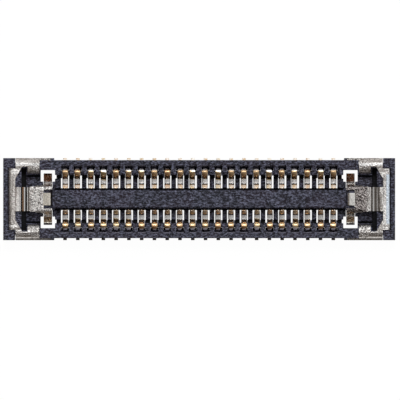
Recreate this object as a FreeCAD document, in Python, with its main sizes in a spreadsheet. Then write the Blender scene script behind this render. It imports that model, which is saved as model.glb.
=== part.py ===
"""Receptacle half of a fine-pitch board-to-board connector, as soldered to a phone's charging board.

A black moulded housing holds two rows of bent strip contacts round a long centre island, and a
pressed metal fitting armours each end and carries two power springs.

Frame: X runs along the rows, Y across them, Z up from the board. The origin is the middle of the
part on the solder plane. All sizes are in millimetres.
"""

import FreeCAD, Part
import math
import os

import Sketcher

# Driving dimensions: name, value
DIMENSIONS = (
    # contact rows
    ("contacts_per_row", 22),
    ("pitch", 0.35),
    ("end_zone", 1.695),  # centre of a row's last contact to the housing's end face
    # housing, across the rows
    ("island_width", 0.50),
    ("island_head_width", 0.60),  # the island's wider ends, under the fittings
    ("groove_width", 0.41),
    ("side_wall", 0.41),
    ("end_block_step", 0.055),  # the corner blocks stand out from the side walls
    # housing, heights
    ("standoff", 0.03),  # solder plane to the housing's underside
    ("floor_thickness", 0.09),
    ("rail_height", 0.12),  # low rail in each groove, which the contact slots cut into ribs
    ("rail_width", 0.26),
    ("rail_gap", 0.05),
    ("housing_height", 0.62),
    ("island_drop", 0.02),  # island top below the side walls' top
    ("lead_in", 0.035),  # chamfer along the mating groove
    # housing, along the rows
    ("end_wall", 0.50),
    ("end_skin", 0.13),  # plastic left outside the fitting's cap
    ("corner_block", 0.33),
    ("head_shoulder", 0.03),  # island head beyond the fitting's inner end
    ("nub_length", 0.08),
    ("nub_height", 0.20),
    # contact slots in the housing
    ("slot_width", 0.22),
    ("pocket_depth", 0.08),  # open pocket behind the contact's leg
    ("pocket_floor", 0.30),  # height of that pocket's floor
    ("pocket_draft", 0.045),  # slope of that pocket's outer wall, over its height
    ("tail_clearance", 0.02),  # between the tails or feet and the housing over them
    # contacts
    ("strip", 0.07),
    ("spring_width", 0.16),
    ("leg_width", 0.10),
    ("leg_depth", 0.19),  # groove wall's face to the outer face of the leg
    ("cap_width", 0.22),  # over the bend at the top of the wall
    ("cap_drop", 0.02),  # top of that bend below the wall's top
    ("bottom_lift", 0.05),  # lowest bend above the solder plane
    ("leg_lean", 0.07),  # the inner leg leans towards the island at its foot
    ("arm_gap", 0.20),  # clear gap that grips the mating contact
    ("crest_height", 0.39),
    ("tip_reach", 0.115),
    ("crest_round", 0.06),
    ("crease", 0.025),
    ("barb_height", 0.14),
    ("barb_lift", 0.13),
    ("tail_reach", 0.055),  # tail beyond the side wall
    # end fittings
    ("sheet", 0.08),
    ("bend_radius", 0.11),  # outside of the fitting's bends
    ("fitting_rise", 0.04),  # fitting's top above the side walls' top
    ("cap_span", 1.70),
    ("cap_skirt", 0.14),
    ("arm_length", 0.66),
    ("guide_radius", 0.20),
    ("guide_length", 0.32),
    ("guide_skirt", 0.06),
    ("guide_inset", 0.03),  # guide's face behind the groove wall's face
    ("corner_cut", 0.19),
    ("corner_run", 0.33),
    ("tongue_width", 0.66),
    ("end_gap", 0.13),  # clear gap for the mating part's end wall
    ("plate_overhang", 0.045),
    ("plate_length", 0.60),
    ("shoulder_length", 0.46),
    ("shoulder_drop", 0.12),
    ("centre_pad_width", 0.34),
    ("centre_pad_length", 0.23),
    ("pad_tuck", 0.06),  # the centre pad's end, tucked down into the island
    ("branch_flat", 0.015),  # flat left on the spring's branch beside its bend
    ("foot_length", 0.99),
    ("fit_clearance", 0.01),
    # power springs and the holes that they work in
    ("power_spring_width", 0.23),
    ("power_gap", 0.14),
    ("power_crest", 0.36),
    ("power_flare", 0.13),
    ("hole_margin", 0.08),  # hole's edge beyond the spring
    ("hole_inner", 0.23),  # island's side to the hole
    ("hole_bite", 0.135),  # how far the hole bites into the side wall
    ("hole_notch", 0.04),  # the hole's notch towards the rows, beside the rail
)

DIAGONAL = 2 ** 0.5 / 2  # sine and cosine of 45 degrees
HALF_TURN = 2 ** 0.5 - 1  # tangent of half of 45 degrees


class Length:
    """A length held both as a number and as the sheet expression that gives it."""

    def __init__(self, value, text):
        self.value = value
        self.text = text

    def __add__(self, other):
        other = as_length(other)
        return Length(self.value + other.value, f"({self.text} + {other.text})")

    def __sub__(self, other):
        other = as_length(other)
        return Length(self.value - other.value, f"({self.text} - {other.text})")

    def __mul__(self, factor):
        factor = as_length(factor)
        return Length(self.value * factor.value, f"{self.text} * {factor.text}")

    def __truediv__(self, divisor):
        return Length(self.value / divisor, f"{self.text} / {divisor}")

    def __neg__(self):
        return self * -1


def as_length(value):
    return value if isinstance(value, Length) else Length(value, str(value))


class Sizes:
    """The document's sheet of driving dimensions, read by name."""

    def __init__(self, doc):
        self.table = doc.addObject("Spreadsheet::Sheet", "Sizes")
        for row, (name, value) in enumerate(DIMENSIONS, start=1):
            self.table.set(f"A{row}", str(value))
            self.table.setAlias(f"A{row}", name)
        doc.recompute()

    def __getattr__(self, name):
        return Length(float(getattr(self.table, name)), f"{self.table.Name}.{name}")


class Layout:
    """Places that several pieces share, worked out from the driving dimensions."""

    def __init__(self, z):
        # across the rows, from the middle outwards
        self.island_side = z.island_width / 2
        self.head_side = z.island_head_width / 2
        self.rail_in = self.island_side + z.rail_gap
        self.rail_out = self.rail_in + z.rail_width
        self.wall_in = self.island_side + z.groove_width
        self.ledge_out = self.wall_in - z.rail_gap
        self.leg_out = self.wall_in + z.leg_depth
        self.leg_in = self.leg_out - z.strip
        self.pocket_out = self.leg_out + z.pocket_depth
        self.side = self.wall_in + z.side_wall
        self.side_in = self.side - z.sheet
        self.block_side = self.side + z.end_block_step
        self.cap_side = z.cap_span / 2
        self.guide_face = self.wall_in + z.guide_inset
        self.guide_back = self.guide_face + z.sheet
        self.guide_top = self.guide_face + z.guide_radius
        self.power_face = self.head_side + z.sheet
        self.shoulder_flat = self.power_face - z.bend_radius
        self.hole_near = self.island_side + z.hole_inner
        self.hole_far = self.wall_in + z.hole_bite
        # along the rows, from the middle outwards
        self.row_end = (z.contacts_per_row - 1) * z.pitch / 2
        self.end = self.row_end + z.end_zone
        self.cap_out = self.end - z.end_skin
        self.arm_out = self.end - z.corner_block
        self.arm_in = self.arm_out - z.arm_length
        self.foot_in = self.arm_out - z.foot_length
        self.slot_out = self.end - z.end_wall
        self.tongue_back = self.slot_out + z.sheet
        self.tongue_flat = self.slot_out + z.bend_radius
        self.slot_in = self.slot_out - z.end_gap
        self.island_end = self.slot_in - z.sheet
        self.plate_out = self.slot_in - z.bend_radius
        self.spring_in = self.plate_out - z.plate_length
        self.spring_out = self.spring_in + z.power_spring_width
        self.pad_out = self.spring_in + z.centre_pad_length
        self.pad_flat = self.spring_in + z.bend_radius
        self.shoulder_out = self.spring_in + z.shoulder_length
        self.head_in = self.spring_in - z.head_shoulder
        self.hole_in = self.spring_in - z.hole_margin
        self.notch_in = self.hole_in - z.hole_notch
        self.hole_out = self.spring_out + z.hole_margin
        # heights, from the solder plane up
        self.floor = z.standoff + z.floor_thickness
        self.island_top = z.housing_height - z.island_drop
        self.head_top = self.island_top - z.sheet
        self.head_bend = self.island_top - z.bend_radius
        self.pad_low = self.head_bend - z.pad_tuck
        self.sheet_top = z.housing_height + z.fitting_rise
        self.sheet_low = self.sheet_top - z.sheet
        self.sheet_bend = self.sheet_top - z.bend_radius
        self.skirt_low = self.sheet_bend - z.cap_skirt
        self.guide_bend = self.sheet_top - z.guide_radius
        self.guide_low = self.guide_bend - z.guide_skirt


class Loop:
    """A closed outline of straight runs and tangent arcs, in a sketch's own two directions."""

    def __init__(self, u, v):
        self.points = [(as_length(u), as_length(v))]
        self.kinds = []

    def line(self, u, v):
        return self.run_to(u, v, "line")

    def arc_after(self, u, v):
        """An arc that carries on smoothly from the run before it."""
        return self.run_to(u, v, "after")

    def arc_into(self, u, v):
        """An arc that leads smoothly into the run behind it."""
        return self.run_to(u, v, "into")

    def run_to(self, u, v, kind):
        self.points.append((as_length(u), as_length(v)))
        self.kinds.append(kind)
        return self

    def flipped(self, flip_u, flip_v):
        copy = Loop(0, 0)
        copy.kinds = list(self.kinds)
        copy.points = [(-u if flip_u else u, -v if flip_v else v) for u, v in self.points]
        return copy


def rectangle(u0, u1, v0, v1):
    return Loop(u0, v0).line(u1, v0).line(u1, v1).line(u0, v1)


def left_and_right(loop):
    return [loop, loop.flipped(True, False)]


def front_and_back(loop):
    return [loop, loop.flipped(False, True)]


def four_ways(loop):
    return left_and_right(loop) + left_and_right(loop.flipped(False, True))


def arc_centre(start, end, along):
    """Centre of the arc that leaves start along a direction and ends at end, and if it turns left."""
    chord = end - start
    normal = FreeCAD.Vector(-along.y, along.x, 0)
    reach = chord.dot(chord) / (2 * chord.dot(normal))
    return start + normal * reach, reach > 0


def add_arc(sketch, centre, start, end, left):
    circle = Part.Circle(centre, FreeCAD.Vector(0, 0, 1), (start - centre).Length)
    first, last = (start, end) if left else (end, start)
    sketch.addGeometry(Part.ArcOfCircle(circle, circle.parameter(first), circle.parameter(last)), False)


def draw_loop(sketch, loop):
    """Adds one closed loop whose corners are held by distances bound to the sheet."""
    corners = [FreeCAD.Vector(u.value, v.value, 0) for u, v in loop.points]
    kinds = loop.kinds + ["line"]
    count = len(corners)
    base = sketch.GeometryCount
    ends = []
    for k, kind in enumerate(kinds):
        start, end = corners[k], corners[(k + 1) % count]
        left = True
        if kind == "line":
            sketch.addGeometry(Part.LineSegment(start, end), False)
        elif kind == "after":
            centre, left = arc_centre(start, end, (start - corners[k - 1]).normalize())
            add_arc(sketch, centre, start, end, left)
        else:
            centre, right = arc_centre(end, start, (end - corners[(k + 2) % count]).normalize())
            left = not right
            add_arc(sketch, centre, start, end, left)
        ends.append((1, 2) if left else (2, 1))
    for k in range(count):
        after = (k + 1) % count
        smooth = kinds[k] == "into" or kinds[after] == "after"
        join = "Tangent" if smooth else "Coincident"
        sketch.addConstraint(Sketcher.Constraint(join, base + k, ends[k][1], base + after, ends[after][0]))
    for k, (u, v) in enumerate(loop.points):
        for axis, length, across in (("DistanceX", u, -2), ("DistanceY", v, -1)):
            if length.value == 0:
                sketch.addConstraint(Sketcher.Constraint("PointOnObject", base + k, ends[k][0], across))
            else:
                place = Sketcher.Constraint(axis, -1, 1, base + k, ends[k][0], length.value)
                sketch.setExpression(f"Constraints[{sketch.addConstraint(place)}]", length.text)


def origin_feature(body, role):
    return next(feature for feature in body.Origin.OriginFeatures if feature.Role == role)


def sketch_on(body, name, role, loops, offset):
    """A sketch on one of the body's own origin planes, set off along that plane's normal."""
    sketch = body.newObject("Sketcher::SketchObject", name)
    sketch.AttachmentSupport = [(origin_feature(body, role), "")]
    sketch.MapMode = "FlatFace"
    sketch.setExpression("AttachmentOffset.Base.z", as_length(offset).text)
    for loop in loops:
        draw_loop(sketch, loop)
    return sketch


def add_pad(body, name, role, loops, offset, length, symmetric=False):
    """Material from a sketch, along its plane's normal or half to each side of it."""
    pad = body.newObject("PartDesign::Pad", name)
    pad.Profile = sketch_on(body, name + "Sketch", role, loops, offset)
    pad.SideType = "Symmetric" if symmetric else "One side"
    pad.setExpression("Length", as_length(length).text)
    body.Tip = pad
    return pad


def add_pocket(body, name, role, loops, offset, length=None, symmetric=False, along_normal=False):
    """A cut from a sketch against its plane's normal, right through where no length is given."""
    pocket = body.newObject("PartDesign::Pocket", name)
    pocket.Profile = sketch_on(body, name + "Sketch", role, loops, offset)
    pocket.SideType = "Symmetric" if symmetric else "One side"
    pocket.Reversed = along_normal
    if length is None:
        pocket.Type = "ThroughAll"
    else:
        pocket.setExpression("Length", as_length(length).text)
    body.Tip = pocket
    return pocket


def cut_down(body, name, loops, top, low):
    return add_pocket(body, name, "XY_Plane", loops, top, top - low)


def cut_up(body, name, loops, low, top):
    return add_pocket(body, name, "XY_Plane", loops, low, top - low, along_normal=True)


def cut_through(body, name, loops, z):
    return add_pocket(body, name, "XY_Plane", loops, z.housing_height)


def make_housing(doc, z, at):
    body = doc.addObject("PartDesign::Body", "Housing")
    body.Label = "housing"
    shape_block(body, z, at)
    cut_fitting_seats(body, z, at)
    cut_tail_recesses(body, z, at)
    cut_contact_slots(body, z, at)
    return body


def shape_block(body, z, at):
    """The block, its mating groove round the island, and the rails and ledges on the groove's floor."""
    height = z.housing_height - z.standoff
    add_pad(body, "Block", "XY_Plane", [rectangle(-at.end, at.end, -at.side, at.side)], z.standoff, height)
    corners = four_ways(rectangle(at.arm_out, at.end, at.island_side, at.block_side))
    add_pad(body, "CornerBlocks", "XY_Plane", corners, z.standoff, height)
    nub = rectangle(at.foot_in - z.nub_length, at.foot_in, at.wall_in, at.block_side)
    add_pad(body, "Nubs", "XY_Plane", four_ways(nub), z.standoff, z.nub_height)

    island = Loop(at.head_in, at.island_side).line(at.head_in, at.head_side)
    island.line(at.island_end, at.head_side).line(at.island_end, -at.head_side)
    island.line(at.head_in, -at.head_side).line(at.head_in, -at.island_side)
    island.line(-at.head_in, -at.island_side).line(-at.head_in, -at.head_side)
    island.line(-at.island_end, -at.head_side).line(-at.island_end, at.head_side)
    island.line(-at.head_in, at.head_side).line(-at.head_in, at.island_side)
    outer = rectangle(-at.slot_out, at.slot_out, -at.wall_in, at.wall_in)
    cut_down(body, "MatingGroove", [outer, island], z.housing_height, at.floor)
    cut_down(body, "IslandTop", [outer], z.housing_height, at.island_top)

    wall_edge = Loop(at.wall_in - z.lead_in, z.housing_height)
    wall_edge.line(at.wall_in, z.housing_height - z.lead_in)
    wall_edge.line(at.wall_in + z.lead_in, z.housing_height)
    island_edge = Loop(at.island_side - z.lead_in, at.island_top)
    island_edge.line(at.island_side, at.island_top - z.lead_in)
    island_edge.line(at.island_side + z.lead_in, at.island_top)
    edges = left_and_right(wall_edge) + left_and_right(island_edge)
    add_pocket(body, "LeadIn", "YZ_Plane", edges, 0, at.head_in * 2, symmetric=True)

    rail = rectangle(-at.hole_in, at.hole_in, at.rail_in, at.rail_out)
    add_pad(body, "Rails", "XY_Plane", front_and_back(rail), at.floor, z.rail_height)
    ledge = rectangle(at.hole_in, at.slot_in, -at.ledge_out, at.ledge_out)
    add_pad(body, "EndLedges", "XY_Plane", left_and_right(ledge), at.floor, z.rail_height)


def cut_fitting_seats(body, z, at):
    """Seats for the end fittings, and the holes that their power springs work in."""
    seat_in = at.arm_in - z.fit_clearance
    seat_out = at.cap_out + z.fit_clearance
    seat = Loop(seat_in, -at.block_side).line(at.arm_out, -at.block_side)
    seat.line(at.arm_out, -at.cap_side).line(seat_out, -at.cap_side)
    seat.line(seat_out, at.cap_side).line(at.arm_out, at.cap_side)
    seat.line(at.arm_out, at.block_side).line(seat_in, at.block_side)
    cut_down(body, "FrameSeats", left_and_right(seat), z.housing_height, at.sheet_low)
    skirt_seat = rectangle(at.cap_out - z.sheet - z.fit_clearance, seat_out, -at.cap_side, at.cap_side)
    cut_down(body, "SkirtSeats", left_and_right(skirt_seat), at.sheet_low, at.skirt_low)
    side_seat = rectangle(seat_in, at.arm_out, at.side_in, at.block_side)
    cut_through(body, "SideSeats", four_ways(side_seat), z)
    foot_seat = rectangle(at.foot_in, at.arm_out, at.side_in, at.block_side)
    cut_up(body, "FootSeats", four_ways(foot_seat), z.standoff, z.sheet + z.tail_clearance)

    tongue_half = z.tongue_width / 2 + z.fit_clearance
    tongue_seat = rectangle(at.island_end, at.tongue_back, -tongue_half, tongue_half)
    cut_down(body, "TongueSeats", left_and_right(tongue_seat), at.sheet_low, at.floor)
    end_slot = rectangle(at.slot_in, at.slot_out, -at.cap_side, at.cap_side)
    cut_down(body, "EndSlots", left_and_right(end_slot), at.sheet_low, at.floor)
    head_seat = rectangle(at.spring_in - z.fit_clearance, at.island_end, -at.power_face, at.power_face)
    cut_down(body, "HeadSeats", left_and_right(head_seat), at.island_top, at.head_top)
    pad_half = z.centre_pad_width / 2 + z.fit_clearance
    pad_seat = rectangle(at.spring_in - z.fit_clearance, at.pad_flat, -pad_half, pad_half)
    cut_down(body, "PadSeats", left_and_right(pad_seat), at.island_top, at.pad_low)

    guide = Loop(at.wall_in - z.lead_in, at.guide_low).line(at.guide_back, at.guide_low)
    guide.line(at.guide_back, at.guide_bend).line(at.guide_top, at.sheet_low)
    guide.line(at.wall_in - z.lead_in, at.sheet_low)
    seat_length = at.slot_in - seat_in
    for name, low in (("RightGuideSeats", seat_in), ("LeftGuideSeats", -at.slot_in)):
        add_pocket(body, name, "YZ_Plane", left_and_right(guide), low, seat_length, along_normal=True)

    hole = Loop(at.hole_in, at.hole_near).line(at.hole_out, at.hole_near).line(at.hole_out, at.hole_far)
    hole.line(at.hole_in, at.hole_far).line(at.hole_in, at.wall_in).line(at.notch_in, at.wall_in)
    hole.line(at.notch_in, at.rail_out).line(at.hole_in, at.rail_out)
    cut_through(body, "PowerHoles", four_ways(hole), z)
    leg_hole = rectangle(at.spring_in - z.fit_clearance, at.spring_out + z.fit_clearance,
                         at.head_side, at.hole_near)
    cut_through(body, "PowerLegHoles", four_ways(leg_hole), z)


def cut_tail_recesses(body, z, at):
    """A long recess under each side wall, over the contacts' tails."""
    half_row = at.row_end + z.slot_width / 2
    recess = rectangle(-half_row, half_row, at.leg_out, at.side)
    cut_up(body, "TailRecesses", front_and_back(recess), z.standoff, z.strip + z.tail_clearance)


def cut_contact_slots(body, z, at):
    """The slots of one contact pair, repeated along the rows."""
    slot = Loop(at.rail_in, 0).line(at.leg_out, 0).line(at.leg_out, z.pocket_floor)
    slot.line(at.pocket_out - z.pocket_draft, z.pocket_floor).line(at.pocket_out, z.housing_height)
    slot.line(at.rail_in, z.housing_height)
    slots = add_pocket(body, "ContactSlots", "YZ_Plane", left_and_right(slot), -at.row_end, z.slot_width,
                       symmetric=True)
    pattern = body.newObject("PartDesign::LinearPattern", "ContactRow")
    pattern.Originals = [slots]
    pattern.Direction = (origin_feature(body, "X_Axis"), [""])
    pattern.Mode = "Spacing"
    pattern.setExpression("Offset", z.pitch.text)
    pattern.setExpression("Occurrences", z.contacts_per_row.text)
    body.Tip = pattern


def add_strip(body, name, loop, width):
    """A stretch of a contact's strip, whose faces stay apart from those of its other stretches."""
    strip = add_pad(body, name, "YZ_Plane", [loop], 0, width, symmetric=True)
    strip.Refine = False


def make_contact(doc, name, z, at):
    """A contact drawn on the plane X = 0, with its tail towards +Y."""
    body = doc.addObject("PartDesign::Body", name)
    cap_radius = z.cap_width / 2
    inner_radius = cap_radius - z.strip
    cap_y = at.leg_out - cap_radius
    cap_z = z.housing_height - z.cap_drop - cap_radius
    inner_leg = at.leg_out - z.cap_width
    inner_leg_back = inner_leg + z.strip
    inner_foot = inner_leg - z.leg_lean
    inner_foot_back = inner_foot + z.strip
    bottom_top = z.bottom_lift + z.strip
    fold = z.crease * 2
    arm = inner_leg - z.arm_gap
    arm_back = arm - z.strip
    crest_trim = z.crest_round * HALF_TURN
    crest_slope = crest_trim * DIAGONAL
    tip_y = arm - z.tip_reach
    tip_z = z.crest_height + z.tip_reach
    tip_depth = z.strip * DIAGONAL

    def on_cap(radius, degrees):
        """A point on the bend over the wall, which is drawn in flats of 30 degrees."""
        turn = math.radians(degrees)
        return cap_y + radius * round(math.cos(turn), 9), cap_z + radius * round(math.sin(turn), 9)

    # most of the bend over the wall, inner leg, bottom, and arm with its crest and tip
    spring = Loop(*on_cap(inner_radius, 60)).line(*on_cap(cap_radius, 60)).line(*on_cap(cap_radius, 90))
    spring.line(*on_cap(cap_radius, 120)).line(*on_cap(cap_radius, 150))
    spring.line(inner_leg, cap_z).line(inner_foot, bottom_top).line(arm, bottom_top)
    spring.line(arm, z.crest_height - crest_trim)
    spring.line(arm - crest_slope, z.crest_height + crest_slope).line(tip_y, tip_z)
    spring.line(tip_y - tip_depth, tip_z - tip_depth)
    spring.line(arm_back, z.crest_height - z.strip * HALF_TURN)
    spring.line(arm_back, z.bottom_lift + fold).line(arm_back + fold, z.bottom_lift)
    spring.line(inner_foot_back - fold, z.bottom_lift).line(inner_foot_back, z.bottom_lift + fold)
    spring.line(inner_leg_back, cap_z).line(*on_cap(inner_radius, 120))
    add_strip(body, name + "Spring", spring, z.spring_width)

    # narrower start of the bend, leg and solder tail
    leg = Loop(at.leg_out, cap_z).line(*on_cap(cap_radius, 30)).line(*on_cap(cap_radius, 60))
    leg.line(*on_cap(inner_radius, 60)).line(at.leg_in, cap_z).line(at.leg_in, fold).line(at.leg_in + fold, 0)
    leg.line(at.side + z.tail_reach, 0).line(at.side + z.tail_reach, z.strip)
    leg.line(at.leg_out, z.strip)
    add_strip(body, name + "Leg", leg, z.leg_width)

    # barbs that grip the sides of the slot, tapered towards the top, which goes in first
    barb_half = z.slot_width / 2
    leg_half = z.leg_width / 2
    barb_top = z.barb_lift + z.barb_height
    barbs = Loop(-barb_half, z.barb_lift).line(barb_half, z.barb_lift)
    barbs.line(leg_half, barb_top).line(-leg_half, barb_top)
    add_pad(body, name + "Barbs", "XZ_Plane", [barbs], -at.leg_out, z.strip).Refine = False
    return body


def make_fitting(doc, name, z, at):
    """The fitting of the +X end, pressed and bent from one sheet."""
    body = doc.addObject("PartDesign::Body", name)
    shape_frame(body, z, at)
    shape_island_plate(body, z, at)
    shape_power_springs(body, z, at)
    return body


def shape_frame(body, z, at):
    """Flat frame over the end and side walls, its rolled edges, side plates, feet and guides."""
    plate_flat = at.side - z.bend_radius
    cap_flat = at.cap_out - z.bend_radius
    cap_half = at.cap_side - z.fit_clearance
    arm_end = at.arm_out - z.fit_clearance
    tongue_half = z.tongue_width / 2
    cut_in = at.arm_out - z.corner_cut
    cut_low = at.guide_top - z.corner_run
    frame = Loop(at.arm_in, at.guide_top).line(cut_in, at.guide_top).line(at.arm_out, cut_low)
    frame.line(at.arm_out, tongue_half).line(at.tongue_flat, tongue_half)
    frame.line(at.tongue_flat, -tongue_half).line(at.arm_out, -tongue_half)
    frame.line(at.arm_out, -cut_low).line(cut_in, -at.guide_top).line(at.arm_in, -at.guide_top)
    frame.line(at.arm_in, -plate_flat).line(arm_end, -plate_flat).line(arm_end, -cap_half)
    frame.line(cap_flat, -cap_half).line(cap_flat, cap_half).line(arm_end, cap_half)
    frame.line(arm_end, plate_flat).line(at.arm_in, plate_flat)
    add_pad(body, "Frame", "XY_Plane", [frame], at.sheet_low, z.sheet)

    cap_edge = Loop(cap_flat, at.sheet_low).line(cap_flat, at.sheet_top)
    cap_edge.arc_into(at.cap_out, at.sheet_bend).line(at.cap_out, at.skirt_low)
    cap_edge.line(at.cap_out - z.sheet, at.skirt_low).line(at.cap_out - z.sheet, at.sheet_low)
    add_pad(body, "CapEdge", "XZ_Plane", [cap_edge], 0, cap_half * 2, symmetric=True)

    side_plate = Loop(plate_flat, at.sheet_low).line(plate_flat, at.sheet_top)
    side_plate.arc_into(at.side, at.sheet_bend).line(at.side, z.sheet)
    side_plate.line(at.block_side, z.sheet).line(at.block_side, 0)
    side_plate.line(at.side_in + z.crease, 0).line(at.side_in, z.crease)
    side_plate.line(at.side_in, at.sheet_low)
    add_pad(body, "SidePlates", "YZ_Plane", left_and_right(side_plate), at.arm_in, arm_end - at.arm_in)
    foot = rectangle(at.foot_in, at.arm_in, at.side_in + z.crease, at.block_side)
    add_pad(body, "Feet", "XY_Plane", front_and_back(foot), 0, z.sheet)

    guide = Loop(at.guide_top, at.sheet_low).arc_into(at.guide_back, at.guide_bend)
    guide.line(at.guide_back, at.guide_low).line(at.guide_face, at.guide_low)
    guide.line(at.guide_face, at.guide_bend).arc_after(at.guide_top, at.sheet_top)
    add_pad(body, "Guides", "YZ_Plane", left_and_right(guide), at.arm_in, z.guide_length)


def shape_island_plate(body, z, at):
    """Tongue down the end wall, across the slot's floor and up on to the island's end."""
    fold = z.crease * 2
    slot_floor = at.floor + z.sheet
    tongue = Loop(at.tongue_flat, at.sheet_top).arc_into(at.slot_out, at.sheet_bend)
    tongue.line(at.slot_out, slot_floor + z.crease).line(at.slot_out - z.crease, slot_floor)
    tongue.line(at.slot_in + z.crease, slot_floor).line(at.slot_in, slot_floor + z.crease)
    tongue.line(at.slot_in, at.head_bend).arc_after(at.plate_out, at.island_top)
    tongue.line(at.plate_out, at.head_top).line(at.island_end, at.head_top)
    tongue.line(at.island_end, at.floor + fold).line(at.island_end + fold, at.floor)
    tongue.line(at.tongue_back - fold, at.floor).line(at.tongue_back, at.floor + fold)
    tongue.line(at.tongue_back, at.sheet_low).line(at.tongue_flat, at.sheet_low)
    add_pad(body, "Tongue", "XZ_Plane", [tongue], 0, z.tongue_width, symmetric=True)

    plate_side = at.head_side + z.plate_overhang
    pad_side = z.centre_pad_width / 2
    plate = Loop(at.plate_out, plate_side).line(at.shoulder_out, plate_side)
    plate.line(at.shoulder_out, at.shoulder_flat).line(at.pad_out, at.shoulder_flat)
    plate.line(at.pad_out, pad_side).line(at.pad_flat, pad_side)
    plate.line(at.pad_flat, -pad_side).line(at.pad_out, -pad_side)
    plate.line(at.pad_out, -at.shoulder_flat).line(at.shoulder_out, -at.shoulder_flat)
    plate.line(at.shoulder_out, -plate_side).line(at.plate_out, -plate_side)
    add_pad(body, "IslandPlate", "XY_Plane", [plate], at.head_top, z.sheet)
    pad_end = Loop(at.pad_flat, at.head_top).line(at.pad_flat, at.island_top)
    pad_end.arc_into(at.spring_in, at.head_bend).line(at.spring_in, at.pad_low)
    pad_end.line(at.spring_in + z.sheet, at.pad_low).line(at.spring_in + z.sheet, at.head_top)
    add_pad(body, "CentrePadEnd", "XZ_Plane", [pad_end], 0, z.centre_pad_width, symmetric=True)


def shape_power_springs(body, z, at):
    """Shoulders over the island's sides, and the two springs that hang from them."""
    branch_in = at.shoulder_flat - z.branch_flat
    shoulder_low = at.head_bend - z.shoulder_drop
    shoulder = Loop(branch_in, at.head_top).line(branch_in, at.island_top)
    shoulder.line(at.shoulder_flat, at.island_top).arc_after(at.power_face, at.head_bend)
    shoulder.line(at.power_face, shoulder_low).line(at.head_side, shoulder_low)
    shoulder.line(at.head_side, at.head_top)
    add_pad(body, "Shoulders", "YZ_Plane", left_and_right(shoulder), at.spring_in, z.shoulder_length)

    fold = z.crease * 2
    bottom_top = z.bottom_lift + z.sheet
    arm = at.power_face + z.power_gap
    arm_back = arm + z.sheet
    crest_trim = z.crest_round * HALF_TURN
    crest_slope = crest_trim * DIAGONAL
    tip_y = arm + z.power_flare
    tip_z = z.power_crest + z.power_flare
    tip_depth = z.sheet * DIAGONAL
    spring = Loop(at.head_side, at.head_bend).line(at.power_face, at.head_bend)
    spring.line(at.power_face, bottom_top + z.crease).line(at.power_face + z.crease, bottom_top)
    spring.line(arm - z.crease, bottom_top).line(arm, bottom_top + z.crease)
    spring.line(arm, z.power_crest - crest_trim)
    spring.arc_after(arm + crest_slope, z.power_crest + crest_slope).line(tip_y, tip_z)
    spring.line(tip_y + tip_depth, tip_z - tip_depth)
    spring.line(arm_back, z.power_crest - z.sheet * HALF_TURN)
    spring.line(arm_back, z.bottom_lift + fold).line(arm_back - fold, z.bottom_lift)
    spring.line(at.head_side + fold, z.bottom_lift).line(at.head_side, z.bottom_lift + fold)
    add_pad(body, "PowerSprings", "YZ_Plane", left_and_right(spring), at.spring_in, z.power_spring_width)


def make_copy(doc, name, original):
    """A body of its own that follows the original's shape."""
    body = doc.addObject("PartDesign::Body", name)
    base = doc.addObject("PartDesign::FeatureBase", name + "Base")
    base.BaseFeature = original
    body.Group = [base]
    body.Tip = base
    return body


def place(body, label, x, half_turn):
    body.Label = label
    body.setExpression("Placement.Base.x", x.text)
    if half_turn:
        body.setExpression("Placement.Rotation.Yaw", "180 deg")


def make_rows(doc, z, at):
    """Both rows of contacts: row a at the back, and row b at the front, turned to face it."""
    contact = make_contact(doc, "Contact", z, at)
    bodies = []
    for row, half_turn in (("a", False), ("b", True)):
        for number in range(round(z.contacts_per_row.value)):
            copy = make_copy(doc, f"Contact{row}{number + 1}", contact)
            place(copy, f"contact_{row}{number + 1:02d}", z.pitch * number - at.row_end, half_turn)
            bodies.append(copy)
    return bodies


def check(doc, bodies):
    for thing in doc.Objects:
        if "Invalid" in thing.State or "Error" in thing.State:
            raise RuntimeError(f"{thing.Label} failed: {thing.State}")
    for body in bodies:
        shape = body.Shape
        if shape.isNull() or not shape.isValid():
            raise RuntimeError(f"{body.Label} has no valid shape")
        if len(shape.Solids) != 1:
            raise RuntimeError(f"{body.Label} is not one solid")


def main():
    doc = FreeCAD.newDocument("Receptacle")
    sizes = Sizes(doc)
    at = Layout(sizes)
    housing = make_housing(doc, sizes, at)
    fitting = make_fitting(doc, "Fitting", sizes, at)
    bodies = [housing] + make_rows(doc, sizes, at)
    for label, half_turn in (("end_fitting_right", False), ("end_fitting_left", True)):
        copy = make_copy(doc, label, fitting)
        place(copy, label, as_length(0), half_turn)
        bodies.append(copy)
    doc.recompute()
    check(doc, bodies)
    os.makedirs("parts", exist_ok=True)
    for body in bodies:
        body.Shape.exportStep(f"parts/{body.Label}.step")


main()
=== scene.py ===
"""Finished looks of a fine-pitch board-to-board receptacle, as soldered to a phone's charging board.

A dark moulded housing carries two rows of bent, selectively gold-plated spring contacts and a pressed
metal fitting at each end. It lies on a white ground and is seen straight from above.

Everything is in metres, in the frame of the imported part: X along the rows, Y across them, Z up.
"""

import math

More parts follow.
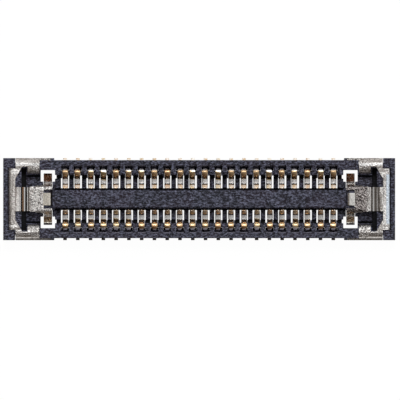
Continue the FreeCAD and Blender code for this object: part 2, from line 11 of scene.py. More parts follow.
import bmesh
import bpy
import numpy as np
from bpy.props import FloatProperty, FloatVectorProperty, PointerProperty
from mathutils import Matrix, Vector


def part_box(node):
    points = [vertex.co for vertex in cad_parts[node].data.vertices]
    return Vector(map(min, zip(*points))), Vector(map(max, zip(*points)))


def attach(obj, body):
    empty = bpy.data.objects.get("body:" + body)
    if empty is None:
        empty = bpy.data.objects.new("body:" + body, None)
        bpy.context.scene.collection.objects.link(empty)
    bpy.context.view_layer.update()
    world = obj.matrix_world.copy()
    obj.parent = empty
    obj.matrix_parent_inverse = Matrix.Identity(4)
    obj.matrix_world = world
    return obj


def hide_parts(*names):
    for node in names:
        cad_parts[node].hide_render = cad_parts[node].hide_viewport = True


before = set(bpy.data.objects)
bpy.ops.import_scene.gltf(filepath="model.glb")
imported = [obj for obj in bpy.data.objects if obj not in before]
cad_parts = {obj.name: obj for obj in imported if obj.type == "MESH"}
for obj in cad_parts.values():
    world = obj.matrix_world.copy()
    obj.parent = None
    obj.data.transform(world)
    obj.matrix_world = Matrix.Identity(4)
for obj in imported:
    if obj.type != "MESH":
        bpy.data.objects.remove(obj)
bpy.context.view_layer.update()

bl_info = {
    "name": "Board-to-board receptacle",
    "version": (1, 0, 0),
    "blender": (4, 5, 0),
    "location": "3D View > Sidebar > Receptacle",
    "description": "Builds the finished housing, contacts and end fittings of a small receptacle",
    "category": "Object",
}

BODY = "root"
MM = 0.001

# The contacts' random tints and places start from this number.
SEED = 7
# An edge that turns by more than this is a real one, and not a facet of an arc.
REAL_EDGE = math.radians(28)
# The steps in which a strip is carried along its path, on arcs and on straight runs.
ARC_STEP = math.radians(8)
RUN_STEP = 0.03 * MM
# How many rings round off a cut end, and how many points round off each edge of the strip.
END_RINGS = 4
EDGE_POINTS = 4


def length(name, description, millimetres):
    return FloatProperty(name=name, description=description, default=millimetres * MM, unit="LENGTH",
                         precision=6)


def share(name, description, default):
    return FloatProperty(name=name, description=description, default=default, min=0, max=1,
                         subtype="FACTOR")


def colour(name, description, default):
    return FloatVectorProperty(name=name, description=description, default=default, subtype="COLOR",
                               size=3, min=0, max=1)


class MouldingSettings(bpy.types.PropertyGroup):
    """Edges and plastic of the housing."""

    edge: length("Edge radius", "Rounding that the mould leaves on every edge", 0.010)
    dark: colour("Plastic", "Colour of the glass-filled plastic", (0.008, 0.008, 0.013))
    light: colour("Fibre", "Colour where glass fibres show at the skin", (0.300, 0.314, 0.445))
    # The sheen colour is a painted highlight on the drafted pocket walls behind the contacts.
    sheen: colour("Sheen", "Colour of the smooth drafted walls behind the contacts", (0.30, 0.29, 0.36))
    roughness: share("Roughness", "Roughness of the moulded skin", 0.50)


class ContactSettings(bpy.types.PropertyGroup):
    """Sizes and plating of a bent strip contact. Its reach and height come from its node."""

    strip: length("Strip", "Thickness of the contact strip", 0.07)
    spring_width: length("Spring width", "Width of the strip in the spring", 0.16)
    tip_width: length("Tip width", "Width at the spring's cut end", 0.125)
    leg_width: length("Leg width", "Width of the leg and the solder tail", 0.10)
    barb_width: length("Barb width", "Width over the barbs that grip the slot", 0.22)
    barb_low: length("Barb height", "Lowest point of the barbs above the board", 0.13)
    barb_length: length("Barb length", "Length of the barbs up the leg", 0.14)
    tail_length: length("Tail", "Solder tail's end to the leg's outer face", 0.275)
    cap_width: length("Cap", "Width over the bend at the top of the wall", 0.22)
    arm_gap: length("Gap", "Clear gap that grips the mating contact", 0.21)
    web_gap: length("Web gap", "Clear gap between a contact and the web of plastic that it straddles", 0.003)
    web_top: length("Web height", "Top of that web above the board", 0.45)
    flank: length("Long flank", "How far the web runs on beside the inner leg, on one side", 0.13)
    short_flank: length("Short flank", "How far it runs on on the other side", 0.06)
    leg_lean: length("Lean", "How far the inner leg leans towards the island at its foot", 0.07)
    bottom_lift: length("Lift", "Lowest bend above the board", 0.05)
    crest_height: length("Crest", "Height at which the arm turns over to its tip", 0.43)
    crest_bend: length("Crest radius", "Radius of that turn, at the middle of the strip", 0.027)
    tip_slope: FloatProperty(name="Tip slope", description="Rise of the tip above the level",
                             default=math.radians(30), subtype="ANGLE")
    tip_inset: length("Tip inset", "How far the rounded tip stops short of its node's box", 0.02)
    toe: length("Toe", "Thickness of the tail's coined end", 0.03)
    toe_length: length("Toe length", "Length of the tail over which it thins", 0.07)
    wander: length("Wander", "How far the plating's borders differ from contact to contact", 0.06)
    play: length("Play", "How far a spring may stand to either side of its place", 0.015)
    aside: length("Aside", "How far the back row's springs stand to the left of their slots' middles", 0.006)
    bend: length("Bend", "Radius of the sharp bends, at the middle of the strip", 0.055)
    edge: length("Edge radius", "Rounding of the strip's rolled edges", 0.007)
    gold: colour("Gold", "Colour of the gold plating", (0.72, 0.55, 0.33))
    copper: colour("Copper", "Redder colour that some of the gold has", (0.68, 0.43, 0.24))
    # The dull gold is painted shade: dark gold for the inner leg down in the slot and for part of the cap.
    dull: colour("Dull gold", "Colour of the gold down in the slot", (0.030, 0.015, 0.007))
    nickel: colour("Nickel", "Colour of the bare nickel under it", (1, 0.98, 0.96))
    roughness: share("Roughness", "Roughness of the plating", 0.24)


class FittingSettings(bpy.types.PropertyGroup):
    """Edges and finish of the pressed end fittings."""

    edge: length("Edge radius", "Rounding that the press leaves on the sheet's edges", 0.012)
    plating: colour("Plating", "Colour of the matte plating", (0.93, 0.90, 0.87))
    stain: colour("Stain", "Colour of its darker, duller patches", (0.34, 0.29, 0.26))
    pit: colour("Pit", "Colour of the fine pits in it", (0.07, 0.06, 0.06))
    gold: colour("Gold", "Colour of the plated power spring tips", (0.60, 0.42, 0.26))
    # The back row's copper is painted shade: the same gold as the front row's, drawn darker and redder.
    copper: colour("Copper", "Redder colour of the back row's power spring tips", (0.40, 0.17, 0.08))
    roughness: share("Roughness", "Roughness of the plating", 0.30)


class StageSettings(bpy.types.PropertyGroup):
    """Ground, light and camera."""

    view_width: length("View", "Width that the camera sees", 10.96)
    centre_x: length("Centre X", "Point under the camera, along the rows", 0.0230)
    centre_y: length("Centre Y", "Point under the camera, across the rows", -0.0237)
    key: FloatProperty(name="Key", description="Strength of the soft key light", default=0.66, min=0)
    key_tilt: FloatProperty(name="Key tilt", description="Key light's lean from straight above",
                            default=math.radians(27), subtype="ANGLE")
    key_spread: FloatProperty(name="Key spread", description="Angle over which the key light spreads",
                              default=math.radians(18), subtype="ANGLE")


class Value:
    """A number on a shader socket. Arithmetic on it adds Math nodes."""

    def __init__(self, graph, socket):
        self.graph = graph
        self.socket = socket

    def __add__(self, other):
        return self.graph.maths("ADD", self, other)

    def __radd__(self, other):
        return self.graph.maths("ADD", other, self)

    def __sub__(self, other):
        return self.graph.maths("SUBTRACT", self, other)

    def __rsub__(self, other):
        return self.graph.maths("SUBTRACT", other, self)

    def __mul__(self, other):
        return self.graph.maths("MULTIPLY", self, other)

    def __rmul__(self, other):
        return self.graph.maths("MULTIPLY", other, self)

    def size(self):
        return self.graph.maths("ABSOLUTE", self)

    def limited(self, low, high):
        return self.graph.maths("MINIMUM", self.graph.maths("MAXIMUM", self, low), high)

    def rise(self, low, high):
        """0 up to low, 1 from high on, and a smooth step between them."""
        return self.graph.node("ShaderNodeMapRange", {"interpolation_type": "SMOOTHSTEP"},
                               {"Value": self, "From Min": low, "From Max": high})

    def band(self, low, high, blur):
        """1 between low and high, fading to 0 over blur on each side."""
        return self.rise(low - blur, low) * (1 - self.rise(high, high + blur))


class Graph:
    """The nodes of one material or world."""

    def __init__(self, tree):
        self.tree = tree
        tree.nodes.clear()

    def node(self, kind, settings, inputs, output=0):
        """Adds any node: its settings first, then its sockets by name or number, as numbers or links."""
        made = self.tree.nodes.new(kind)
        for name, value in settings.items():
            setattr(made, name, value)
        for name, value in inputs.items():
            socket = made.inputs[name]
            if isinstance(value, Value):
                value = value.socket
            if isinstance(value, bpy.types.NodeSocket):
                self.tree.links.new(value, socket)
            else:
                socket.default_value = value
        return Value(self, made.outputs[output]) if len(made.outputs) else made

    def maths(self, operation, first, second=0.0):
        return self.node("ShaderNodeMath", {"operation": operation}, {0: first, 1: second})

    def mix(self, factor, first, second, blend="MIX"):
        """Mixes two colours, each a socket or three numbers."""
        first, second = ((*c, 1) if isinstance(c, tuple) else c for c in (first, second))
        return self.node("ShaderNodeMix", {"data_type": "RGBA", "blend_type": blend},
                         {0: factor, 6: first, 7: second}, output=2)

    def place(self, output="Object"):
        return self.node("ShaderNodeTexCoord", {}, {}, output=output)

    def axes(self, vector):
        return [self.node("ShaderNodeSeparateXYZ", {}, {0: vector}, output=k) for k in range(3)]

    def millimetres(self):
        """The place on the part as X, Y and Z, each in millimetres."""
        return [axis * (1 / MM) for axis in self.axes(self.place())]

    def stretched(self, vector, scale):
        return self.node("ShaderNodeVectorMath", {"operation": "MULTIPLY"}, {0: vector, 1: scale})

    def noise(self, vector, scale, detail=2.0, roughness=0.5):
        return self.node("ShaderNodeTexNoise", {},
                         {"Vector": vector, "Scale": scale, "Detail": detail, "Roughness": roughness})

    def attribute(self, name):
        return self.node("ShaderNodeAttribute", {"attribute_name": name}, {}, output="Fac")

    def bump(self, height, depth):
        """A normal bent by height, where depth is the height of 1 in metres."""
        return self.node("ShaderNodeBump", {}, {"Height": height, "Distance": depth, "Strength": 1.0})

    def surface(self, inputs, uniform):
        """The Principled shader and the output: what varies, then what is the same all over."""
        shader = self.node("ShaderNodeBsdfPrincipled", {}, inputs | uniform)
        self.node("ShaderNodeOutputMaterial", {}, {"Surface": shader})


def new_graph(name):
    material = bpy.data.materials.new(name)
    material.use_nodes = True
    return material, Graph(material.node_tree)


def moulded_plastic(sizes):
    """Dark glass-filled plastic: short fibres along X at the skin, fine specks and a faint drift of hue.

    Its lowest faces, down in the groove and the slots, are painted darker than its skin as painted
    shade, and the drafted outer walls of the pockets behind the contacts carry a painted highlight.
    """
    material, graph = new_graph("moulded_plastic")
    place = graph.place()
    y, z = graph.millimetres()[1:]
    fibres = graph.noise(graph.stretched(place, (13000, 24000, 24000)), 1.0, 2.0, 0.55)
    specks = graph.noise(place, 34000, 1.0)
    drift = graph.noise(place, 2600, 1.0)
    # deep is the painted shade colour of the lowest faces, down in the groove and the slots.
    warm, deep = (0.017, 0.011, 0.019), (0.004, 0.004, 0.006)
    shine = fibres.rise(0.40, 0.80) * 0.7 + specks.rise(0.54, 0.74) * 0.4
    skin = graph.mix(drift.rise(0.35, 0.65), tuple(sizes.dark), warm)
    top = graph.mix(shine.limited(0, 1), skin, tuple(sizes.light))
    # Painted highlight: the drafted outer walls of the pockets behind the contacts take the lighter sheen
    # colour.
    pocket_wall_sheen = y.size().band(0.888, 0.926, 0.004) * (1 - z.rise(0.600, 0.612))
    top = graph.mix(pocket_wall_sheen, top, tuple(sizes.sheen))
    # Painted shade: faces below 0.24 mm fade to the deep colour.
    base = graph.mix(z.rise(0.12, 0.24), deep, top)
    graph.surface({"Base Color": base, "Roughness": specks.rise(0.3, 0.7) * 0.16 + (sizes.roughness - 0.08),
                   "Normal": graph.bump(fibres * 0.6 + specks * 0.4, 1.4e-5)},
                  {"Specular IOR Level": 0.2})
    return material


def plated_strip(sizes):
    """Contact strip: gold on the cap, the inner leg and the spring's tip, and nickel on the rest.

    The front row's solder tails, at -Y, are painted nearly black as painted shade, where the housing's
    wall shades them.

    It reads the strip's own length, a tint and the plating from the piece's attributes. The plating is 1
    where the nickel is bare, 0 where the gold is bright and -1 where it is painted dark as painted shade,
    down the inner leg in the slot; -0.6 on the cap's outer slope near its top is painted shade that dims
    the key light's highlight there.
    """
    material, graph = new_graph("plated_strip")
    along, tint, bare = (graph.attribute(name) for name in ("along", "tint", "plating"))
    x, y = graph.millimetres()[:2]
    drawn = graph.node("ShaderNodeCombineXYZ", {}, {0: x * 60, 1: along * 5000, 2: tint * 50})
    lines = graph.noise(drawn, 1.0, 2.0)
    cloud = graph.noise(graph.place(), 16000, 2.0)
    # tail is the painted shade colour of the front row's solder tails.
    stain, tail = (0.36, 0.25, 0.17), (0.02, 0.02, 0.022)
    gold = graph.mix(tint, tuple(sizes.gold), tuple(sizes.copper))
    # Painted shade: below 0 the plating turns the gold to the dark dull gold.
    gold = graph.mix((0 - bare).limited(0, 1), gold, tuple(sizes.dull))
    patch = (bare + (cloud - 0.5) * 0.5).rise(0.35, 0.65)
    base = graph.mix(patch, gold, tuple(sizes.nickel))
    base = graph.mix(cloud.rise(0.55, 0.80) * (0.6 - patch * 0.35), base, stain)
    # Painted shade: the front row's tails, shaded by the housing's wall, are drawn nearly black.
    front_tail_shade = (0 - y).rise(1.04, 1.07)
    base = graph.mix(front_tail_shade * 0.9, base, tail)
    graph.surface({"Base Color": base, "Roughness": lines * 0.2 + patch * 0.12 + (sizes.roughness - 0.1),
                   "Normal": graph.bump(lines * 0.5 + cloud * 0.5, 2.5e-6)},
                  {"Metallic": 1.0, "Specular Tint": (0.3, 0.22, 0.16, 1)})
    return material


def pressed_sheet(sizes):
    """Matte plated sheet with a coarse, sparkling grain, dull stains, and gold on the power springs.

    The cap and the arms carry faint lines from the press, along Y on the cap and along X on the arms.
    The tongue's sharp bends carry painted highlights and painted shade: strong white lines, a brown line
    and, on the left, a black painted shadow in the gap. The arms' bent edges carry a painted highlight on
    the back row's side, at +Y, and painted shade on the front row's, and their outer bends are painted
    darker as shade. The right cap's outer roll carries a pale, bluish painted reflection. The back row's
    power springs are painted redder and darker than the front row's as shade, and the front row's carry a
    painted highlight near their ends. The pad at the island plate's end is smooth. The right fitting's
    island plate is worn, and the left fitting's cap is dull.
    """
    material, graph = new_graph("pressed_sheet")
    place = graph.place()
    x, y = graph.millimetres()[:2]
    out, wide = x.size(), y.size()
    back = y.rise(-0.1, 0.1)
    right = x.rise(-0.1, 0.1)
    left = 1 - right
    arm = wide.rise(0.66, 0.70)
    middle = 1 - arm
    drawn = out.rise(4.60, 4.64)
    # bends marks the tongue's sharp bends, which get painted highlights and painted shade.
    bends = out.band(4.68, 4.91, 0.01) * (1 - wide.rise(0.34, 0.36))
    pad = out.band(4.02, 4.27, 0.02) * (1 - wide.rise(0.18, 0.21))
    worn = x.band(4.05, 4.55, 0.1) * (1 - wide.rise(0.34, 0.40)) * (1 - pad)
    spring = wide.band(0.50, 0.80, 0.03) * (1 - out.rise(4.30, 4.34))
    white, pale = (1, 0.99, 0.98), (0.97, 0.95, 0.93)

    grain = graph.noise(place, 34000, 2.0, 0.6)
    cells = graph.node("ShaderNodeTexVoronoi", {}, {"Vector": place, "Scale": 30000})
    stains = graph.noise(place, 7000, 3.0, 0.6)
    pits = graph.noise(place, 26000, 2.0, 0.7)
    base = graph.mix(stains.rise(0.48, 0.72) * 0.6, tuple(sizes.plating), tuple(sizes.stain))
    base = graph.mix(pits.rise(0.46, 0.60) * (0.8 + right * 0.2 - drawn * 0.4), base, tuple(sizes.pit))

    across = graph.noise(graph.stretched(place, (900, 15000, 15000)), 1.0, 2.0, 0.6)
    down = graph.noise(graph.stretched(place, (15000, 900, 15000)), 1.0, 2.0, 0.6)
    lines = across * arm + down * middle
    base = graph.mix(drawn * lines.rise(0.48, 0.62) * 0.7, base, (0.24, 0.21, 0.19))
    base = graph.mix(drawn * (1 - lines.rise(0.36, 0.46)) * 0.6, base, pale)
    base = graph.mix(drawn * left * middle * 0.3, base, tuple(sizes.stain))
    base = graph.mix(worn * 0.78, base, (0.35, 0.31, 0.31), "MULTIPLY")
    base = graph.mix(pad * 0.8, base, graph.mix(right, (0.70, 0.64, 0.54), (1, 0.98, 0.94)))

    # Painted shade: the arms' outer bends, where the sheet turns down, are drawn darker.
    outer = arm * wide.rise(0.98, 1.00)
    base = graph.mix(outer * 0.5, base, (0.34, 0.30, 0.27))
    # Painted light on the arms' bent edges: a painted highlight on the back row's side, at +Y, and painted
    # shade on the front row's.
    painted_edge_light = arm * wide.band(0.92, 0.97, 0.01)
    base = graph.mix(painted_edge_light * 0.85, base, graph.mix(back, (0.16, 0.14, 0.13), white))
    # Painted reflection: a pale bluish band on the right cap's outer roll.
    roll = x.rise(5.12, 5.14) * middle
    base = graph.mix(roll * 0.8, base, (0.80, 0.90, 1))

    # Painted light on the tongue's sharp bends: white lines are painted highlights, the brown crease line is
    # painted shade and, on the left, the black line in the gap is a painted shadow.
    sharp = graph.noise(graph.stretched(place, (26000, 500, 26000)), 1.0, 1.0)
    tongue = graph.mix(sharp.rise(0.50, 0.62) * (0.25 + right * 0.4), white, (0.40, 0.35, 0.31))
    crease = out.band(4.805, 4.855, 0.008)
    tongue = graph.mix(crease, tongue, graph.mix(right, (0.34, 0.19, 0.10), (0.13, 0.11, 0.09)))
    gap = out.band(4.738, 4.765, 0.006) * left
    tongue = graph.mix(gap, tongue, (0.02, 0.015, 0.015))
    base = graph.mix(bends * 0.9, base, tongue)

    # Painted shade: the back row's power spring tips take the darker, redder copper colour.
    tip = graph.mix(back, tuple(sizes.gold), tuple(sizes.copper))
    tip = graph.mix(grain.rise(0.55, 0.62) * 0.6, tip, (0.90, 0.80, 0.70))
    # Painted highlight: a bright bar near the ends of the front row's power spring tips.
    front_tip_highlight = (0 - y).band(0.63, 0.67, 0.01)
    tip = graph.mix(front_tip_highlight, tip, (1, 0.94, 0.82))
    base = graph.mix(spring, base, tip)

    rough = (grain * 0.3 + (sizes.roughness - 0.15)) * (1 - bends * 0.5)
    relief = (grain * 0.6 + cells * 0.4) * (1 - (bends + pad) * 0.9) * (1 - drawn * 0.3)
    graph.surface({"Base Color": base, "Roughness": rough, "Normal": graph.bump(relief, 2.6e-5)},
                  {"Metallic": 1.0})
    return material


def white_ground():
    """White to the camera and in reflections, and a plain pale diffuse ground to all other light.

    A small diffuse share stays in what the camera sees, so the object keeps its shadow.
    """
    material, graph = new_graph("white_ground")
    paths = [graph.node("ShaderNodeLightPath", {}, {}, output=name)
             for name in ("Is Camera Ray", "Is Glossy Ray", "Is Transmission Ray")]
    seen = (paths[0] + paths[1] + paths[2]).limited(0, 1)
    plain = graph.node("ShaderNodeBsdfDiffuse", {}, {"Color": (0.8, 0.8, 0.8, 1)})
    faint = graph.node("ShaderNodeBsdfDiffuse", {}, {"Color": (0.06, 0.06, 0.06, 1)})
    glow = graph.node("ShaderNodeEmission", {}, {"Color": (1, 1, 1, 1), "Strength": 0.97})
    white = graph.node("ShaderNodeAddShader", {}, {0: faint, 1: glow})
    both = graph.node("ShaderNodeMixShader", {}, {0: seen, 1: plain, 2: white})
    graph.node("ShaderNodeOutputMaterial", {}, {"Surface": both})
    return material


def merged_copy(node, name):
    """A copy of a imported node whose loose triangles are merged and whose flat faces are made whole."""
    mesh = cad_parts[node].data.copy()
    mesh.name = name
    shape = bmesh.new()
    shape.from_mesh(mesh)
    bmesh.ops.remove_doubles(shape, verts=shape.verts, dist=1e-7)
    bmesh.ops.dissolve_limit(shape, angle_limit=math.radians(1), verts=shape.verts, edges=shape.edges)
    shape.to_mesh(mesh)
    shape.free()
    mesh.materials.clear()
    return mesh


def show(name, mesh, material, nodes):
    """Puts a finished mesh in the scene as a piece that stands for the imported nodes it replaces."""
    piece = bpy.data.objects.new(name, mesh)
    bpy.context.scene.collection.objects.link(piece)
    mesh.materials.append(material)
    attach(piece, BODY)
    if nodes:
        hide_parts(*nodes)
    return piece


def round_edges(piece, radius):
    """Rounds every real edge of a merged copy and keeps its flat faces flat to the eye."""
    piece.data.shade_smooth()
    piece.data.set_sharp_from_angle(angle=REAL_EDGE)
    bevel = piece.modifiers.new("Edges", "BEVEL")
    bevel.width = radius
    bevel.segments = 2
    bevel.limit_method = "ANGLE"
    bevel.angle_limit = REAL_EDGE
    bevel.use_clamp_overlap = True
    bevel.harden_normals = True
    return piece


def rounded_path(corners, radii):
    """Points and directions along straight runs joined by tangent arcs.

    A corner with turn t and radius r starts its arc r * tan(t / 2) before the corner. On the arc the
    direction turns evenly, and a point is the arc's centre plus r times the direction turned back by a
    quarter.
    """
    corners = np.asarray(corners, float)
    runs = np.diff(corners, axis=0)
    lengths = np.linalg.norm(runs, axis=1)
    headings = np.unwrap(np.arctan2(runs[:, 1], runs[:, 0]))
    turns = np.diff(headings)
    trims = np.concatenate([[0], np.asarray(radii) * np.tan(np.abs(turns) / 2), [0]])
    points, directions = [], []
    for k, heading in enumerate(headings):
        ahead = np.array([np.cos(heading), np.sin(heading)])
        start = corners[k] + ahead * trims[k]
        reach = lengths[k] - trims[k] - trims[k + 1]
        if reach > 1e-9:
            count = max(2, int(reach / RUN_STEP) + 2)
            points.append(start + np.outer(np.linspace(0, reach, count), ahead))
            directions.append(np.full(count, heading))
        if k < len(turns):
            side = np.sign(turns[k])
            centre = start + ahead * reach + side * radii[k] * np.array([-ahead[1], ahead[0]])
            count = max(3, int(abs(turns[k]) / ARC_STEP) + 1)
            angles = heading + np.linspace(0, turns[k], count)[1:-1]
            points.append(centre + side * radii[k] * np.stack([np.sin(angles), -np.cos(angles)], 1))
            directions.append(angles)
    return np.concatenate(points), np.concatenate(directions)


def strip_mesh(name, points, headings, half_widths, half_depths, edge):
    """A strip carried along a path in the YZ plane, with rounded edges and rounded cut ends.

    A ring is a rounded rectangle: four corner centres, each with points at the edge radius round it. The
    first and last few rings take the place of the path's two points at either end. They shrink by
    edge * (1 - cos a) while they move in by edge * (1 - sin a).
    """

    def with_ends(row):
        return np.concatenate([np.repeat(row[:1], END_RINGS), row[2:-2], np.repeat(row[-1:], END_RINGS)])

    ends = np.linspace(np.pi / 2, 0, END_RINGS)
    shrink = edge * (1 - np.cos(ends))
    inward = edge * (1 - np.sin(ends))
    ahead = np.stack([np.cos(headings), np.sin(headings)], 1)
    start = points[0] + np.outer(inward, ahead[0])
    finish = points[-1] - np.outer(inward[::-1], ahead[-1])
    rings = np.concatenate([start, points[2:-2], finish])
    turn = with_ends(headings)
    half, deep = (with_ends(row)[:, None] for row in (half_widths, half_depths))
    inset = np.concatenate([shrink, np.zeros(len(points[2:-2])), shrink[::-1]])

    quarter = np.linspace(0, np.pi / 2, EDGE_POINTS)
    around = np.concatenate([quarter + k * np.pi / 2 for k in range(4)])
    side_x = np.repeat([1, -1, -1, 1], EDGE_POINTS)
    side_n = np.repeat([1, 1, -1, -1], EDGE_POINTS)
    radius = edge - inset
    across = side_x * (half - edge) + radius[:, None] * np.cos(around)
    normal = side_n * (deep - edge) + radius[:, None] * np.sin(around)
    out = np.stack([-np.sin(turn), np.cos(turn)], 1)
    y = rings[:, None, 0] + normal * out[:, None, 0]
    z = rings[:, None, 1] + normal * out[:, None, 1]
    vertices = np.stack([across, y, z], 2).reshape(-1, 3)

    count, per_ring = len(rings), len(around)
    ring, step = np.meshgrid(np.arange(count - 1), np.arange(per_ring), indexing="ij")
    after = (step + 1) % per_ring
    quads = np.stack([ring * per_ring + step, ring * per_ring + after,
                      (ring + 1) * per_ring + after, (ring + 1) * per_ring + step], 2).reshape(-1, 4)
    caps = [list(range(per_ring))[::-1], list(range((count - 1) * per_ring, count * per_ring))]
    mesh = bpy.data.meshes.new(name)
    mesh.from_pydata(vertices, [], quads.tolist() + caps)
    return mesh, np.repeat(travelled_along(rings), per_ring)


def travelled_along(points):
    """The distance from the first point to each point, along the line through them."""
    return np.concatenate([[0], np.cumsum(np.linalg.norm(np.diff(points, axis=0), axis=1))])


def from_stops(along, stops):
    """Values along a path, where each stop gives a distance along it and the value there."""
    distances, values = zip(*stops)
    return np.interp(along, distances, values)


def put_attribute(mesh, name, values):
    attribute = mesh.attributes.new(name, "FLOAT", "POINT")
    attribute.data.foreach_set("value", np.asarray(values, np.float32))


def contact_mesh(name, node, sizes, tint, shift):
    """One contact on its node's own place, reach and height: tail, leg, cap, inner leg, bottom, arm, tip.

    The tint is 0 to 1, and the shift, in metres along the rows, is how far its spring stands from the
    middle of its slot.
    """
    low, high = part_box(node)
    outward = 1 if low.y > 0 else -1
    tail_end = max(abs(low.y), abs(high.y))
    tip_end = min(abs(low.y), abs(high.y)) + sizes.tip_inset
    half = sizes.strip / 2
    leg = tail_end - sizes.tail_length - half
    inner = leg - (sizes.cap_width - sizes.strip)
    arm = inner - sizes.arm_gap - sizes.strip
    top = high.z - half
    bottom = sizes.bottom_lift + half
    tip_rise = (arm - tip_end) * math.tan(sizes.tip_slope)
    corners = [(tail_end, half), (leg, half), (leg, top), (inner, top), (inner - sizes.leg_lean, bottom),
               (arm, bottom), (arm, sizes.crest_height), (tip_end, sizes.crest_height + tip_rise)]
    cap = (leg - inner) / 2
    radii = [sizes.bend, cap, cap, sizes.bend, sizes.bend, sizes.crest_bend]
    points, headings = rounded_path(corners, radii)

    travelled = travelled_along(points)
    barb = travelled[np.argmax((points[:, 1] > sizes.barb_low) & (points[:, 0] < leg + half))]
    barb_end = barb + sizes.barb_length
    over = travelled[np.argmax(points[:, 1])]
    end = travelled[-1]
    shoulder = 0.02 * MM
    barb_taper = 0.86
    widths = from_stops(travelled, [
        (0, sizes.leg_width), (barb, sizes.leg_width), (barb + shoulder, sizes.barb_width),
        (barb_end - shoulder, sizes.barb_width * barb_taper), (barb_end, sizes.leg_width),
        (over - 0.07 * MM, sizes.leg_width), (over - 0.03 * MM, sizes.spring_width),
        (end - 0.10 * MM, sizes.spring_width), (end, sizes.tip_width)])
    half_depths = from_stops(travelled, [(0, sizes.toe / 2), (sizes.toe_length, half)])
    points[:, 1] += half_depths - half
    mesh, along = strip_mesh(name, points, headings, widths / 2, half_depths, sizes.edge)

    places = np.zeros(len(mesh.vertices) * 3)
    mesh.vertices.foreach_get("co", places)
    places = places.reshape(-1, 3)
    slanted = along + (tint - 0.5) * sizes.wander * (1 + places[:, 0] / sizes.spring_width)
    foot = over + cap * 1.5 + top - bottom
    put_attribute(mesh, "along", along)
    put_attribute(mesh, "tint", np.full(len(along), tint))
    # The stops below 0 are painted shade: -0.6 on the cap's outer slope near its top, which dims the key
    # light's highlight, and -1 down the inner leg in the slot.
    put_attribute(mesh, "plating", from_stops(slanted, [
        (0.10 * MM, 0.5), (0.15 * MM, 1),
        (over - 0.035 * MM, 1), (over - 0.024 * MM, -0.6), (over - 0.008 * MM, -0.6),
        (over + 0.02 * MM, 0), (over + 0.12 * MM, 0), (over + 0.17 * MM, -1),
        (foot - 0.05 * MM, -1), (foot - 0.02 * MM, 1), (end - 0.20 * MM, 1), (end - 0.12 * MM, 0.45)]))

    places = places * (outward, outward, 1) + ((low.x + high.x) / 2, 0, 0)
    places[:, 0] += shift * from_stops(along, [(barb_end, 0), (over, 1)])
    mesh.vertices.foreach_set("co", places.ravel())
    mesh.shade_smooth()
    mesh.update()
    return mesh


def stances(sizes):
    """Each contact's node with its tint, 0 to 1, and how far its spring stands from its slot's middle."""
    draw = np.random.default_rng(SEED)
    for node in sorted(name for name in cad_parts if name.startswith("contact_")):
        tint, side = draw.random(2)
        shift = (side * 2 - 1) * sizes.play
        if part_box(node)[0].y > 0:
            shift -= sizes.aside
        yield node, tint, shift


def web_mesh(sizes):
    """The plastic that each contact's bend straddles: three small boxes in each slot.

    The first is as wide as the slot and stands inside the bend. The others run on from it towards the
    island and fill the slot on either side of the inner leg. The longer one is at -X in the back row and
    at +X in the front row.
    """
    corners, faces = [], []
    for node, _, shift in stances(sizes):
        low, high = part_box(node)
        outward = 1 if low.y > 0 else -1
        leg = max(abs(low.y), abs(high.y)) - sizes.tail_length - sizes.strip
        inside = leg - sizes.cap_width + sizes.strip * 2 + sizes.web_gap
        middle = (low.x + high.x) / 2 + shift
        clear = outward * (sizes.spring_width / 2 + sizes.web_gap)
        near, far = (low.x, high.x) if outward > 0 else (high.x, low.x)
        for widths, reach in (((near, far), (leg - sizes.web_gap, inside)),
                              ((near, middle - clear), (inside, inside - sizes.flank)),
                              ((middle + clear, far), (inside, inside - sizes.short_flank))):
            first = len(corners)
            corners += [(x, y, z) for z in (2 * sizes.bottom_lift, sizes.web_top)
                        for y in sorted(outward * y for y in reach) for x in sorted(widths)]
            faces += [[first + k for k in face] for face in
                      ((0, 2, 3, 1), (4, 5, 7, 6), (0, 1, 5, 4), (2, 6, 7, 3), (0, 4, 6, 2), (1, 3, 7, 5))]
    mesh = bpy.data.meshes.new("slot_webs")
    mesh.from_pydata(corners, [], faces)
    return mesh


class ReceptacleOperator(bpy.types.Operator):
    """What the part's operators share."""

    bl_options = {"REGISTER", "UNDO"}


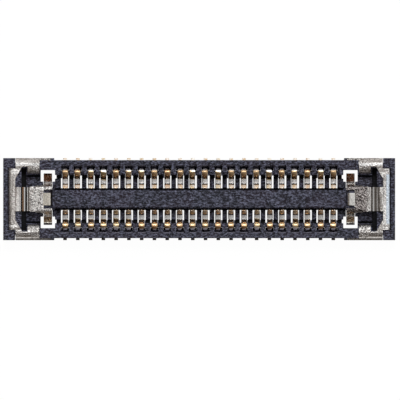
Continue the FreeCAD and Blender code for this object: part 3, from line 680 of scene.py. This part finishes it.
class RECEPTACLE_OT_stage(ReceptacleOperator):
    """Lay a white ground under the part, light it from the back row's side and look straight down"""

    bl_idname = "receptacle.stage"
    bl_label = "Stage"

    def execute(self, context):
        settings = context.scene.receptacle_stage
        self.place_camera(context, settings)
        self.lay_ground(context)
        self.light(context, settings)
        context.scene.view_settings.view_transform = "Standard"
        return {"FINISHED"}

    def place_camera(self, context, settings):
        data = bpy.data.cameras.new("camera")
        data.type = "ORTHO"
        data.ortho_scale = settings.view_width
        data.clip_start = 0.001
        data.clip_end = 1
        camera = bpy.data.objects.new("camera", data)
        camera.location = (settings.centre_x, settings.centre_y, 0.05)
        context.scene.collection.objects.link(camera)
        context.scene.camera = camera

    def lay_ground(self, context):
        reach = 0.3
        mesh = bpy.data.meshes.new("ground")
        mesh.from_pydata([(-reach, -reach, 0), (reach, -reach, 0), (reach, reach, 0), (-reach, reach, 0)],
                         [], [(0, 1, 2, 3)])
        mesh.materials.append(white_ground())
        ground = bpy.data.objects.new("ground", mesh)
        context.scene.collection.objects.link(ground)

    def light(self, context, settings):
        data = bpy.data.lights.new("key", "SUN")
        data.energy = settings.key
        data.angle = settings.key_spread
        key = bpy.data.objects.new("key", data)
        key.rotation_euler = (-settings.key_tilt, 0, 0)
        context.scene.collection.objects.link(key)
        self.surround(context)

    def surround(self, context):
        """A grey horizon under a sky that is bright towards +Y and +X, and dark and warm on the far side."""
        world = bpy.data.worlds.new("surround")
        world.use_nodes = True
        context.scene.world = world
        graph = Graph(world.node_tree)
        x, y, z = graph.axes(graph.place("Generated"))
        sky = (y.rise(-0.60, 0.65) * 0.62 + x * 0.45 + 0.16).limited(0.05, 1)
        horizon = (y * 0.2 + x * 0.5 + 0.4).limited(0.05, 1)
        above = z.rise(0.05, 0.40)
        level = above * sky + (1 - above) * horizon
        tint = graph.mix(level.rise(0.05, 0.40), (1.0, 0.76, 0.54), (0.98, 0.99, 1.0))
        background = graph.node("ShaderNodeBackground", {}, {"Color": tint, "Strength": level})
        graph.node("ShaderNodeOutputWorld", {}, {"Surface": background})


class RECEPTACLE_OT_housing(ReceptacleOperator):
    """Finish the moulded housing: rounded edges and glass-filled plastic"""

    bl_idname = "receptacle.housing"
    bl_label = "Housing"

    def execute(self, context):
        settings = context.scene.receptacle_moulding
        plastic = moulded_plastic(settings)
        piece = show("housing_moulding", merged_copy("housing", "housing_moulding"), plastic,
                     ["housing"])
        round_edges(piece, settings.edge)
        show("slot_webs", web_mesh(context.scene.receptacle_contact), plastic, [])
        return {"FINISHED"}


class RECEPTACLE_OT_contacts(ReceptacleOperator):
    """Bend and plate both rows of spring contacts"""

    bl_idname = "receptacle.contacts"
    bl_label = "Contacts"

    def execute(self, context):
        settings = context.scene.receptacle_contact
        material = plated_strip(settings)
        for node, tint, shift in stances(settings):
            name = node.replace("contact_", "strip_")
            mesh = contact_mesh(name, node, settings, tint, shift)
            show(name, mesh, material, [node])
        return {"FINISHED"}


class RECEPTACLE_OT_fittings(ReceptacleOperator):
    """Finish the two pressed end fittings: rounded edges and matte plating"""

    bl_idname = "receptacle.fittings"
    bl_label = "End fittings"

    def execute(self, context):
        settings = context.scene.receptacle_fitting
        material = pressed_sheet(settings)
        for side in ("right", "left"):
            node, name = f"end_fitting_{side}", f"end_sheet_{side}"
            piece = show(name, merged_copy(node, name), material, [node])
            round_edges(piece, settings.edge)
        return {"FINISHED"}


STEPS = (RECEPTACLE_OT_stage, RECEPTACLE_OT_housing, RECEPTACLE_OT_contacts, RECEPTACLE_OT_fittings)


class RECEPTACLE_PT_panel(bpy.types.Panel):
    """Lists the steps that build the part"""

    bl_label = "Board-to-board receptacle"
    bl_space_type = "VIEW_3D"
    bl_region_type = "UI"
    bl_category = "Receptacle"

    def draw(self, context):
        for step in STEPS:
            self.layout.operator(step.bl_idname)


SETTINGS = {
    "receptacle_moulding": MouldingSettings,
    "receptacle_contact": ContactSettings,
    "receptacle_fitting": FittingSettings,
    "receptacle_stage": StageSettings,
}
CLASSES = (*SETTINGS.values(), *STEPS, RECEPTACLE_PT_panel)


def register():
    for item in CLASSES:
        bpy.utils.register_class(item)
    for name, group in SETTINGS.items():
        setattr(bpy.types.Scene, name, PointerProperty(type=group))


def unregister():
    for name in SETTINGS:
        delattr(bpy.types.Scene, name)
    for item in reversed(CLASSES):
        bpy.utils.unregister_class(item)


def main():
    register()
    bpy.ops.receptacle.stage()
    bpy.ops.receptacle.housing()
    bpy.ops.receptacle.contacts()
    bpy.ops.receptacle.fittings()


if __name__ == "__main__":
    main()
